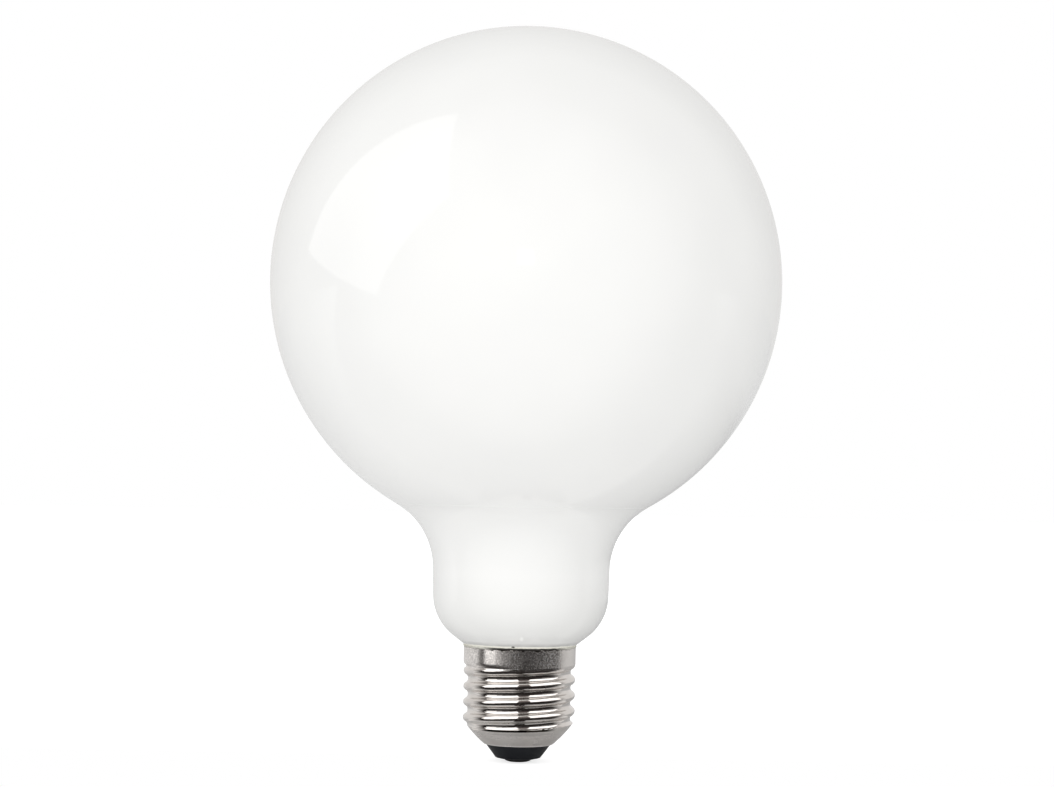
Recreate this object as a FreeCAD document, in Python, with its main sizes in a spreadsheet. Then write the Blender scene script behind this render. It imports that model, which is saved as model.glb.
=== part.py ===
import FreeCAD
import Part
import Sketcher
import math
import os
from collections import namedtuple

# Opal globe lamp with a 27 mm screw cap, standing cap down.
# Origin: the middle of the contact's flat end, on the lamp's axis. +Z runs up through the globe.
# Lengths are in millimetres and angles in degrees.
SIZES = [
    ("globe_diameter", 120.0, "outside of the blown globe"),
    ("neck_diameter", 41.08, "glass neck at its lower end"),
    ("neck_draft", 1.4, "slope of the neck, opening upwards"),
    ("neck_length", 6.5, "straight stretch of the neck"),
    ("neck_fillet", 17.3, "hollow curve from neck to globe"),
    ("shoulder_radius", 12.0, "round shoulder under the neck"),
    ("shoulder_angle", 52.5, "slope of the shoulder from the axis"),
    ("tail_clearance", 0.505, "glass end held inside the cap, to the inside of the thread's roots"),
    ("tail_length", 9.0, "how far that end reaches below the cap's rim"),
    ("cap_height", 26.8, "contact end to the cap's rim"),
    ("collar_rise", 0.03, "plain collar above the thread, standing out past its crests"),
    ("collar_length", 3.6, "plain collar, rim to its rounded lower end"),
    ("shell_wall", 0.3, "sheet metal of the cap"),
    ("thread_major", 26.2, "outside of the rolled thread"),
    ("thread_depth", 1.095, "crest to root of the rolled thread"),
    ("thread_pitch", 3.629, "seven turns to the inch"),
    ("thread_land", 0.4, "straight root between two turns"),
    ("thread_start", 4.75, "height of the thread's lower end, run out in the dome"),
    ("foot_height", 4.15, "contact end to the dome's foot"),
    ("foot_diameter", 16.1, "lower end of the cap's dome"),
    ("foot_width", 0.45, "flat edge around the dome's opening"),
    ("foot_angle", 50.0, "slope of the dome from the axis at its foot"),
    ("dome_radius", 28.2, "curve of the dome"),
    ("cement_stop", 0.6, "bare bore between the cement's lower end and the collar's"),
    ("bead_height", 0.5, "cement squeezed out over the rim"),
    ("bead_overhang", 0.12, "how far that bead stands out past the collar"),
    ("insulator_inset", 0.42, "insulator's cone set in from the dome's foot, where they meet"),
    ("insulator_edge", 10.5, "insulator's cone at its lower edge"),
    ("insulator_crown", 0.45, "rise from the insulator's face to that edge"),
    ("seat_margin", 0.3, "flat seat around the contact's head"),
    ("insulator_round", 0.4, "rounding of the lower edge"),
    ("plug_length", 3.0, "insulator inside the dome"),
    ("contact_height", 0.55, "contact's head below the insulator"),
    ("contact_head", 6.0, "contact's head"),
    ("contact_flat", 3.2, "flat end of the head"),
    ("contact_brim", 0.2, "straight edge of the head"),
    ("contact_stem", 2.4, "contact's stem through the insulator"),
]
OVERCUT = 1.0  # how far a cutting form runs past the surface that it opens
SAME = 1e-6  # how near two sizes count as the same

doc = FreeCAD.newDocument("globe_bulb")
sheet = doc.addObject("Spreadsheet::Sheet", "sizes")
for row, (alias, value, note) in enumerate(SIZES, start=1):
    sheet.set(f"A{row}", alias)
    sheet.set(f"B{row}", str(value))
    sheet.setAlias(f"B{row}", alias)
    sheet.set(f"C{row}", note)
doc.recompute()


def cell(alias):
    return f"<<sizes>>.{alias}"


def half(alias):
    return f"{cell(alias)} / 2"


def number(expression):
    return float(sheet.evalExpression(expression))


# The rolled thread is a wave of equal crest and root arcs, of the radius that lets them meet smoothly
CREST = half("thread_major")
ROOT = f"({CREST} - {cell('thread_depth')})"
QUARTER = f"({cell('thread_pitch')} / 4)"
WAVE = f"(({QUARTER} ^ 2 + ({cell('thread_depth')} / 2) ^ 2) / {cell('thread_depth')})"

# Heights and radii that several pieces share, as expressions of the sheet's cells
RIM = cell("cap_height")
COLLAR = f"({CREST} + {cell('collar_rise')})"
COLLAR_BORE = f"({COLLAR} - {cell('shell_wall')})"
COLLAR_END = f"({RIM} - {cell('collar_length')})"
BEAD_TOP = f"({RIM} + {cell('bead_height')})"
TAIL = f"({ROOT} - {cell('shell_wall')} - {cell('tail_clearance')})"
TAIL_END = f"({RIM} - {cell('tail_length')})"
TAIL_TOP = f"({BEAD_TOP} - ({COLLAR} - {TAIL}) / tan({cell('shoulder_angle')}))"
FOOT = cell("foot_height")
FOOT_BORE = f"({half('foot_diameter')} - {cell('foot_width')})"
PLUG_TOP = f"({FOOT} + {cell('plug_length')})"
SEAT = cell("contact_height")
HEAD = half("contact_head")
STEM = half("contact_stem")
DOME_CENTRE = (
    f"({half('foot_diameter')} - {cell('dome_radius')} * cos({cell('foot_angle')}))",
    f"({FOOT} + {cell('dome_radius')} * sin({cell('foot_angle')}))",
)

Stretch = namedtuple("Stretch", "edge first last")  # an edge's number and the numbers of its two ends
CENTRE = 3  # the number of an arc's centre


def new_body(label):
    body = doc.addObject("PartDesign::Body", label)
    body.Label = label
    return body


def upright_sketch(body, name):
    # Across is the distance from the axis, up is the height
    sketch = body.newObject("Sketcher::SketchObject", name)
    plane = [feature for feature in body.Origin.OriginFeatures if feature.Role == "XZ_Plane"][0]
    sketch.AttachmentSupport = [(plane, "")]
    sketch.MapMode = "FlatFace"
    return sketch


def spot(across, up):
    return FreeCAD.Vector(number(across), number(up), 0)


def short_arc(centre, start, end):
    # Sketch arcs run anticlockwise, so an outline may pass along one from its last end to its first
    first = math.atan2(start.y - centre.y, start.x - centre.x)
    last = math.atan2(end.y - centre.y, end.x - centre.x)
    circle = Part.Circle(centre, FreeCAD.Vector(0, 0, 1), (start - centre).Length)
    if (start - centre).cross(end - centre).z > 0:
        return Part.ArcOfCircle(circle, first, last), 1, 2
    return Part.ArcOfCircle(circle, last, first), 2, 1


def draw(sketch, corners, centres=None, smooth=()):
    # A closed outline. Centres gives the stretches that are arcs, smooth the corners that they round
    centres = centres or {}
    stretches = []
    for index, start in enumerate(corners):
        end = corners[(index + 1) % len(corners)]
        shape, first, last = Part.LineSegment(start, end), 1, 2
        if index in centres:
            shape, first, last = short_arc(centres[index], start, end)
        stretches.append(Stretch(sketch.addGeometry(shape), first, last))
    for index, here in enumerate(stretches):
        before = stretches[index - 1]
        kind = "Tangent" if index in smooth else "Coincident"
        sketch.addConstraint(Sketcher.Constraint(kind, before.edge, before.last, here.edge, here.first))
    return stretches


def bind(sketch, kind, *where, to):
    index = sketch.addConstraint(Sketcher.Constraint(kind, *where, number(to)))
    sketch.setExpression(f"Constraints[{index}]", to)


def place(sketch, edge, end, across=None, up=None):
    if across is not None:
        bind(sketch, "DistanceX", -1, 1, edge, end, to=across)
    if up is not None:
        bind(sketch, "DistanceY", -1, 1, edge, end, to=up)


def straight_outline(sketch, corners):
    stretches = draw(sketch, [spot(*corner) for corner in corners])
    for stretch, (across, up) in zip(stretches, corners):
        place(sketch, stretch.edge, stretch.first, across, up)


def turn(body, sketch, kind="PartDesign::Revolution"):
    feature = body.newObject(kind, f"{sketch.Name}_turned")
    feature.Profile = sketch
    feature.ReferenceAxis = (sketch, ["V_Axis"])
    feature.Angle = 360
    return feature


def make_glass():
    # Tail inside the cap, cone and round shoulder, neck, hollow curve and globe, blown in one piece
    body = new_body("glass_globe")
    sketch = upright_sketch(body, "glass_outline")
    slope = math.radians(number(cell("shoulder_angle")))
    draft = math.radians(number(cell("neck_draft")))
    shoulder = number(cell("shoulder_radius"))
    fillet = number(cell("neck_fillet"))
    globe = number(half("globe_diameter"))
    off_cone = FreeCAD.Vector(math.cos(slope), -math.sin(slope), 0)
    off_neck = FreeCAD.Vector(math.cos(draft), -math.sin(draft), 0)
    up_neck = FreeCAD.Vector(math.sin(draft), math.cos(draft), 0)
    seat = spot(COLLAR, BEAD_TOP)
    across = number(half("neck_diameter")) - shoulder * off_neck.x
    up = seat.y + ((across - seat.x) * off_cone.x + shoulder) / math.sin(slope)
    shoulder_centre = FreeCAD.Vector(across, up, 0)
    neck_foot = shoulder_centre + off_neck * shoulder
    neck_head = neck_foot + up_neck * number(cell("neck_length"))
    fillet_centre = neck_head + off_neck * fillet
    rise = math.sqrt((globe + fillet) ** 2 - fillet_centre.x ** 2)
    globe_centre = FreeCAD.Vector(0, fillet_centre.y + rise, 0)
    globe_foot = globe_centre + (fillet_centre - globe_centre) * (globe / (globe + fillet))
    corners = [
        spot("0", TAIL_END),
        spot(TAIL, TAIL_END),
        spot(TAIL, TAIL_TOP),
        shoulder_centre + off_cone * shoulder,
        neck_foot,
        neck_head,
        globe_foot,
        globe_centre + FreeCAD.Vector(0, globe, 0),
    ]
    arcs = {3: shoulder_centre, 5: fillet_centre, 6: globe_centre}
    stretches = draw(sketch, corners, arcs, smooth=(3, 4, 5, 6))
    end, side, cone, round_shoulder, neck, hollow, dome, axis = stretches
    place(sketch, end.edge, end.first, "0", TAIL_END)
    place(sketch, side.edge, side.first, TAIL, TAIL_END)
    place(sketch, cone.edge, cone.first, TAIL, TAIL_TOP)
    bind(sketch, "Angle", cone.edge, 1, -2, 1, to=f"{cell('shoulder_angle')} * 1 deg")
    bind(sketch, "Radius", round_shoulder.edge, to=cell("shoulder_radius"))
    place(sketch, neck.edge, neck.first, half("neck_diameter"))
    bind(sketch, "Angle", neck.edge, 1, -2, 1, to=f"{cell('neck_draft')} * 1 deg")
    bind(sketch, "Distance", neck.edge, to=cell("neck_length"))
    bind(sketch, "Radius", hollow.edge, to=cell("neck_fillet"))
    bind(sketch, "Radius", dome.edge, to=half("globe_diameter"))
    place(sketch, dome.edge, CENTRE, "0")
    place(sketch, axis.edge, axis.first, "0")
    turn(body, sketch)
    return body


def make_cement():
    # A ring between the glass end and the collar, with a small bead over the rim
    body = new_body("cement_ring")
    sketch = upright_sketch(body, "cement_outline")
    low = f"({COLLAR_END} + {cell('cement_stop')})"
    overhang = cell("bead_overhang")
    bulge = f"(({overhang} ^ 2 + ({cell('bead_height')} / 2) ^ 2) / (2 * {overhang}))"
    bead_centre = spot(f"{COLLAR} + {overhang} - {bulge}", f"{RIM} + {cell('bead_height')} / 2")
    corners = [
        (TAIL, low),
        (COLLAR_BORE, low),
        (COLLAR_BORE, RIM),
        (COLLAR, RIM),
        (COLLAR, BEAD_TOP),
        (TAIL, TAIL_TOP),
    ]
    stretches = draw(sketch, [spot(*corner) for corner in corners], {3: bead_centre})
    for stretch, (across, up) in zip(stretches, corners):
        place(sketch, stretch.edge, stretch.first, across, up)
    bind(sketch, "Radius", stretches[3].edge, to=bulge)
    turn(body, sketch)
    return body


def threaded_form(label, inset, low, high, opening):
    # Collar, threaded core and dome as one full form, set in from the cap's outside by inset
    body = new_body(label)
    crest_arc = f"({WAVE} - {inset})"
    root_arc = f"({WAVE} + {inset})"
    core = f"({ROOT} + {WAVE} - sqrt({root_arc} ^ 2 - ({cell('thread_land')} / 2) ^ 2))"
    collar = f"({COLLAR} - {inset})"

    core_sketch = upright_sketch(body, f"{label}_core")
    step = f"({collar} - {core})"
    fall = f"sqrt(4 * {WAVE} * {step} - {step} ^ 2)"
    share = f"({crest_arc} / (2 * {WAVE}))"
    corners = [
        spot("0", low),
        spot(core, low),
        spot(core, f"{COLLAR_END} - {fall}"),
        spot(f"{collar} - {step} * {share}", f"{COLLAR_END} - {fall} * {share}"),
        spot(collar, COLLAR_END),
        spot(collar, high),
        spot("0", high),
    ]
    arcs = {
        2: spot(f"{core} + {root_arc}", f"{COLLAR_END} - {fall}"),
        3: spot(f"{collar} - {crest_arc}", COLLAR_END),
    }
    bottom, wall, root, crest, side, top, axis = draw(core_sketch, corners, arcs, smooth=(2, 3, 4))
    place(core_sketch, bottom.edge, bottom.first, "0", low)
    place(core_sketch, wall.edge, wall.first, core, low)
    core_sketch.addConstraint(Sketcher.Constraint("Vertical", wall.edge))
    bind(core_sketch, "Radius", root.edge, to=root_arc)
    bind(core_sketch, "Radius", crest.edge, to=crest_arc)
    place(core_sketch, side.edge, side.first, collar, COLLAR_END)
    place(core_sketch, top.edge, top.first, collar, high)
    place(core_sketch, axis.edge, axis.first, "0", high)
    turn(body, core_sketch)

    ridge_sketch = upright_sketch(body, f"{label}_ridge")
    start = cell("thread_start")
    reach = f"({cell('thread_pitch')} / 2 - {cell('thread_land')} / 4)"
    foot = f"({ROOT} + {WAVE} - sqrt({root_arc} ^ 2 - ({cell('thread_land')} / 4) ^ 2))"
    inner = f"({core} - {cell('thread_depth')} / 2)"
    wave_centre = f"({CREST} - {WAVE})"
    root_centre = f"({ROOT} + {WAVE})"
    pitch_half = half("thread_pitch")
    flank = f"({wave_centre} + ({root_centre} - {wave_centre}) * {share})"
    flank_rise = f"({pitch_half} * {share})"
    corners = [
        spot(inner, f"{start} - {reach}"),
        spot(foot, f"{start} - {reach}"),
        spot(flank, f"{start} - {flank_rise}"),
        spot(flank, f"{start} + {flank_rise}"),
        spot(foot, f"{start} + {reach}"),
        spot(inner, f"{start} + {reach}"),
    ]
    arcs = {
        1: spot(root_centre, f"{start} - {pitch_half}"),
        2: spot(wave_centre, start),
        3: spot(root_centre, f"{start} + {pitch_half}"),
    }
    below, low_root, top_arc, high_root, above, back = draw(ridge_sketch, corners, arcs, smooth=(2, 3))
    place(ridge_sketch, below.edge, below.first, inner, f"{start} - {reach}")
    place(ridge_sketch, low_root.edge, low_root.first, up=f"{start} - {reach}")
    place(ridge_sketch, low_root.edge, CENTRE, root_centre, f"{start} - {pitch_half}")
    place(ridge_sketch, top_arc.edge, CENTRE, wave_centre, start)
    bind(ridge_sketch, "Radius", top_arc.edge, to=crest_arc)
    place(ridge_sketch, high_root.edge, CENTRE, root_centre, f"{start} + {pitch_half}")
    place(ridge_sketch, above.edge, above.first, up=f"{start} + {reach}")
    place(ridge_sketch, back.edge, back.first, inner, f"{start} + {reach}")
    ridge = body.newObject("PartDesign::AdditiveHelix", f"{label}_thread")
    ridge.Profile = ridge_sketch
    ridge.ReferenceAxis = (ridge_sketch, ["V_Axis"])
    ridge.Mode = "pitch-height-angle"
    ridge.HasBeenEdited = True
    ridge.Refine = False
    ridge.setExpression("Pitch", cell("thread_pitch"))
    ridge.setExpression("Height", f"{RIM} - {pitch_half} - {start}")

    dome_sketch = upright_sketch(body, f"{label}_dome")
    outside = f"({CREST} + {OVERCUT})"
    dome_arc = f"({cell('dome_radius')} - {inset})"
    across, up = DOME_CENTRE
    corners = [
        spot(opening, "0"),
        spot(opening, f"{up} - sqrt({dome_arc} ^ 2 - ({opening} - {across}) ^ 2)"),
        spot(outside, f"{up} - sqrt({dome_arc} ^ 2 - ({outside} - {across}) ^ 2)"),
        spot(outside, "0"),
    ]
    inside, dome, beyond, under = draw(dome_sketch, corners, {1: spot(*DOME_CENTRE)})
    place(dome_sketch, inside.edge, inside.first, opening, "0")
    place(dome_sketch, dome.edge, dome.first, opening)
    place(dome_sketch, dome.edge, CENTRE, *DOME_CENTRE)
    bind(dome_sketch, "Radius", dome.edge, to=dome_arc)
    place(dome_sketch, beyond.edge, beyond.first, outside)
    place(dome_sketch, under.edge, under.first, outside, "0")
    cut = turn(body, dome_sketch, "PartDesign::Groove")
    cut.Refine = False
    return body


def make_shell():
    # Thin rolled sheet: the outer form less the same form set in by the wall
    shell = threaded_form("screw_shell", "0", FOOT, RIM, half("foot_diameter"))
    hollow = threaded_form("shell_hollow", cell("shell_wall"), f"({FOOT} - {OVERCUT})",
                           f"({RIM} + {OVERCUT})", FOOT_BORE)
    cut = shell.newObject("PartDesign::Boolean", "shell_hollowed")
    cut.Type = "Cut"
    cut.Refine = False
    cut.addObject(hollow)
    return shell


def round_edge(body, radius, height, size):
    # Rounds the circular edge of that radius and height on a turned body
    doc.recompute()
    base = body.Tip
    wanted = []
    for index, edge in enumerate(base.Shape.Edges, start=1):
        circle = edge.Curve
        if isinstance(circle, Part.Circle):
            off = max(abs(circle.Radius - radius), abs(circle.Center.z - height))
            if off < SAME:
                wanted.append(f"Edge{index}")
    feature = body.newObject("PartDesign::Fillet", f"{base.Name}_rounded")
    feature.Base = (base, wanted)
    feature.setExpression("Radius", size)


def make_insulator():
    # Moulded cone under the dome, with a plug in the dome's opening and a hole for the contact's stem
    body = new_body("base_insulator")
    sketch = upright_sketch(body, "insulator_outline")
    edge_height = f"({SEAT} + {cell('insulator_crown')})"
    straight_outline(sketch, [
        (STEM, SEAT),
        (f"{HEAD} + {cell('seat_margin')}", SEAT),
        (half("insulator_edge"), edge_height),
        (f"{half('foot_diameter')} - {cell('insulator_inset')}", FOOT),
        (FOOT_BORE, FOOT),
        (FOOT_BORE, PLUG_TOP),
        (STEM, PLUG_TOP),
    ])
    turn(body, sketch)
    round_edge(body, number(half("insulator_edge")), number(edge_height), cell("insulator_round"))
    return body


def make_contact():
    # A rivet: low domed head with a flat end, and a stem through the insulator
    body = new_body("centre_contact")
    sketch = upright_sketch(body, "contact_outline")
    flat = half("contact_flat")
    brim = f"({SEAT} - {cell('contact_brim')})"
    reach = f"({HEAD} - {flat})"
    crown = f"(({reach} ^ 2 + {brim} ^ 2) / (2 * {brim}))"
    corners = [
        ("0", "0"),
        (flat, "0"),
        (HEAD, brim),
        (HEAD, SEAT),
        (STEM, SEAT),
        (STEM, PLUG_TOP),
        ("0", PLUG_TOP),
    ]
    stretches = draw(sketch, [spot(*corner) for corner in corners], {1: spot(flat, crown)})
    for stretch, (across, up) in zip(stretches, corners):
        place(sketch, stretch.edge, stretch.first, across, up)
    bind(sketch, "Radius", stretches[1].edge, to=crown)
    turn(body, sketch)
    return body


pieces = [make_glass(), make_cement(), make_shell(), make_insulator(), make_contact()]
doc.recompute()

for item in doc.Objects:
    if "Invalid" in item.State or "Error" in item.State:
        raise RuntimeError(f"{item.Label} did not build: {item.State}")
for piece in pieces:
    shape = piece.Shape
    if shape.isNull() or not shape.isValid() or len(shape.Solids) != 1:
        raise RuntimeError(f"{piece.Label} is not one sound solid")
os.makedirs("parts", exist_ok=True)
for piece in pieces:
    piece.Shape.exportStep(f"parts/{piece.Label}.step")
    box = piece.Shape.BoundBox
    heights = f"z {box.ZMin:.2f} to {box.ZMax:.2f}"
    print(f"{piece.Label}: {piece.Shape.Volume:.1f} mm3, {heights}, {box.XLength:.2f} wide")
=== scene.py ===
import bpy
import math
from mathutils import Matrix, Vector


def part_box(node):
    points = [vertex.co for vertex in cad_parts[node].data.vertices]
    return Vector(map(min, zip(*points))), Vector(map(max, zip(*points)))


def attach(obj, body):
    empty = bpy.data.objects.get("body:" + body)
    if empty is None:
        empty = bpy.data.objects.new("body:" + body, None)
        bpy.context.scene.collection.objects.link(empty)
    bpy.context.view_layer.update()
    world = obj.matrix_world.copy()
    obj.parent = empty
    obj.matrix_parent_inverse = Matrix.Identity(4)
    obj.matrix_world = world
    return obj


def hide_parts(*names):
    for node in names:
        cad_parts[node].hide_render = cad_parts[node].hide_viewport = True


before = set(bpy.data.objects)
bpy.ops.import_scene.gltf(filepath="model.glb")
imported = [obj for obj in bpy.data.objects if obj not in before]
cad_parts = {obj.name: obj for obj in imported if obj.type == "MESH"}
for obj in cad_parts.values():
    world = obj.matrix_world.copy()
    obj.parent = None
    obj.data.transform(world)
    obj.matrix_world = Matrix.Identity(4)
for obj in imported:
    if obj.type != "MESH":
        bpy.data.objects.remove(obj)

mm = 0.001
seamGap = 2e-6  # metres within which points join at a seam or a pole
scene = bpy.context.scene
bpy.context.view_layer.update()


# Outlines are lists of (radius, height) in millimetres, from the frame's own boxes where it has them
def nodeSpan(node):
    low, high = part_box(node)
    return {"radius": (high.x - low.x) / 2 / mm, "low": low.z / mm, "high": high.z / mm}


def aim(degrees):
    return Vector((math.cos(math.radians(degrees)), math.sin(math.radians(degrees))))


def arcRun(centre, radius, start, end, steps):
    return [centre + aim(start + (end - start) * step / steps) * radius for step in range(steps + 1)]


def straightRun(start, end, steps):
    return [Vector(start).lerp(Vector(end), step / steps) for step in range(steps + 1)]


def joinRuns(*runs):
    outline = []
    for run in runs:
        for point in run:
            if not outline or (point - outline[-1]).length > 1e-5:
                outline.append(point)
    return outline


# Node trees: a socket is fed by another socket or set to a plain value
def feed(tree, socket, value):
    if isinstance(value, bpy.types.NodeSocket):
        tree.links.new(value, socket)
    else:
        socket.default_value = value


def addNode(tree, kind, feeds=None, **settings):
    node = tree.nodes.new(kind)
    for name, value in settings.items():
        setattr(node, name, value)
    for name, value in (feeds or {}).items():
        feed(tree, node.inputs[name], value)
    return node


def calc(tree, operation, *values):
    node = addNode(tree, "ShaderNodeMath", operation=operation)
    for socket, value in zip(node.inputs, values):
        feed(tree, socket, value)
    return node.outputs[0]


def startTree(name, numbers, counts):
    tree = bpy.data.node_groups.new(name, "GeometryNodeTree")
    tree.interface.new_socket("Outline", in_out="INPUT", socket_type="NodeSocketGeometry")
    for label in numbers:
        tree.interface.new_socket(label, in_out="INPUT", socket_type="NodeSocketFloat")
    for label in counts:
        tree.interface.new_socket(label, in_out="INPUT", socket_type="NodeSocketInt")
    tree.interface.new_socket("Material", in_out="INPUT", socket_type="NodeSocketMaterial")
    tree.interface.new_socket("Piece", in_out="OUTPUT", socket_type="NodeSocketGeometry")
    return tree, addNode(tree, "NodeGroupInput").outputs


def spreadOutline(tree, sizes):
    # A grid with one column for each step round the axis and one row for each point of the outline
    points = addNode(tree, "GeometryNodeAttributeDomainSize", {"Geometry": sizes["Outline"]})
    rows = points.outputs["Point Count"]
    columns = calc(tree, "ADD", sizes["Segments"], 1)
    grid = addNode(tree, "GeometryNodeMeshGrid", {"Vertices X": columns, "Vertices Y": rows})
    index = addNode(tree, "GeometryNodeInputIndex").outputs[0]
    column = calc(tree, "FLOOR", calc(tree, "DIVIDE", calc(tree, "ADD", index, 0.5), rows))
    row = calc(tree, "SUBTRACT", index, calc(tree, "MULTIPLY", column, rows))
    turn = calc(tree, "DIVIDE", column, sizes["Segments"])
    place = addNode(tree, "GeometryNodeInputPosition").outputs[0]
    sample = addNode(tree, "GeometryNodeSampleIndex", data_type="FLOAT_VECTOR", domain="POINT")
    feed(tree, sample.inputs["Geometry"], sizes["Outline"])
    feed(tree, sample.inputs["Value"], place)
    feed(tree, sample.inputs["Index"], row)
    point = addNode(tree, "ShaderNodeSeparateXYZ", {"Vector": sample.outputs[0]}).outputs
    return grid.outputs["Mesh"], turn, point


def wrapRound(tree, sizes, mesh, turn, radius, height):
    # Winds the grid round the axis, closes seam and poles, and ends as one smooth piece with its finish
    angle = calc(tree, "MULTIPLY", turn, 2 * math.pi)
    across = calc(tree, "MULTIPLY", radius, calc(tree, "COSINE", angle))
    along = calc(tree, "MULTIPLY", radius, calc(tree, "SINE", angle))
    spot = addNode(tree, "ShaderNodeCombineXYZ", {"X": across, "Y": along, "Z": height}).outputs[0]
    wound = addNode(tree, "GeometryNodeSetPosition", {"Geometry": mesh, "Position": spot}).outputs[0]
    joined = {"Geometry": wound, "Distance": seamGap}
    closed = addNode(tree, "GeometryNodeMergeByDistance", joined).outputs[0]
    bend = addNode(tree, "GeometryNodeInputMeshEdgeAngle").outputs["Unsigned Angle"]
    gentle = calc(tree, "LESS_THAN", bend, sizes["Sharp angle"])
    edges = {"Geometry": closed, "Shade Smooth": gentle}
    eased = addNode(tree, "GeometryNodeSetShadeSmooth", edges, domain="EDGE").outputs[0]
    faces = {"Geometry": eased, "Shade Smooth": True}
    smooth = addNode(tree, "GeometryNodeSetShadeSmooth", faces).outputs[0]
    whole = addNode(tree, "GeometryNodeRealizeInstances", {"Geometry": smooth}).outputs[0]
    finish = {"Geometry": whole, "Material": sizes["Material"]}
    done = addNode(tree, "GeometryNodeSetMaterial", finish).outputs[0]
    addNode(tree, "NodeGroupOutput", {"Piece": done})


def makeTurningTree():
    tree, sizes = startTree("turnedPiece", ["Waviness", "Lump size", "Sharp angle"], ["Segments", "Seed"])
    mesh, turn, point = spreadOutline(tree, sizes)
    angle = calc(tree, "MULTIPLY", turn, 2 * math.pi)
    ringX = calc(tree, "MULTIPLY", point["X"], calc(tree, "COSINE", angle))
    ringY = calc(tree, "MULTIPLY", point["X"], calc(tree, "SINE", angle))
    onRing = addNode(tree, "ShaderNodeCombineXYZ", {"X": ringX, "Y": ringY, "Z": point["Z"]}).outputs[0]
    lumps = addNode(tree, "ShaderNodeTexNoise", noise_dimensions="4D")
    feeds = {"Vector": onRing, "W": sizes["Seed"], "Detail": 3}
    feeds["Scale"] = calc(tree, "DIVIDE", 1, sizes["Lump size"])
    for name, value in feeds.items():
        feed(tree, lumps.inputs[name], value)
    shift = addNode(tree, "ShaderNodeSeparateXYZ", {"Vector": lumps.outputs["Color"]}).outputs
    # Y of the outline says how loose a point is
    loose = calc(tree, "MULTIPLY", point["Y"], sizes["Waviness"])
    outward = calc(tree, "MULTIPLY", calc(tree, "SUBTRACT", shift["X"], 0.5), loose)
    upward = calc(tree, "MULTIPLY", calc(tree, "SUBTRACT", shift["Y"], 0.5), loose)
    radius = calc(tree, "ADD", point["X"], outward)
    wrapRound(tree, sizes, mesh, turn, radius, calc(tree, "ADD", point["Z"], upward))
    return tree


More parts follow.
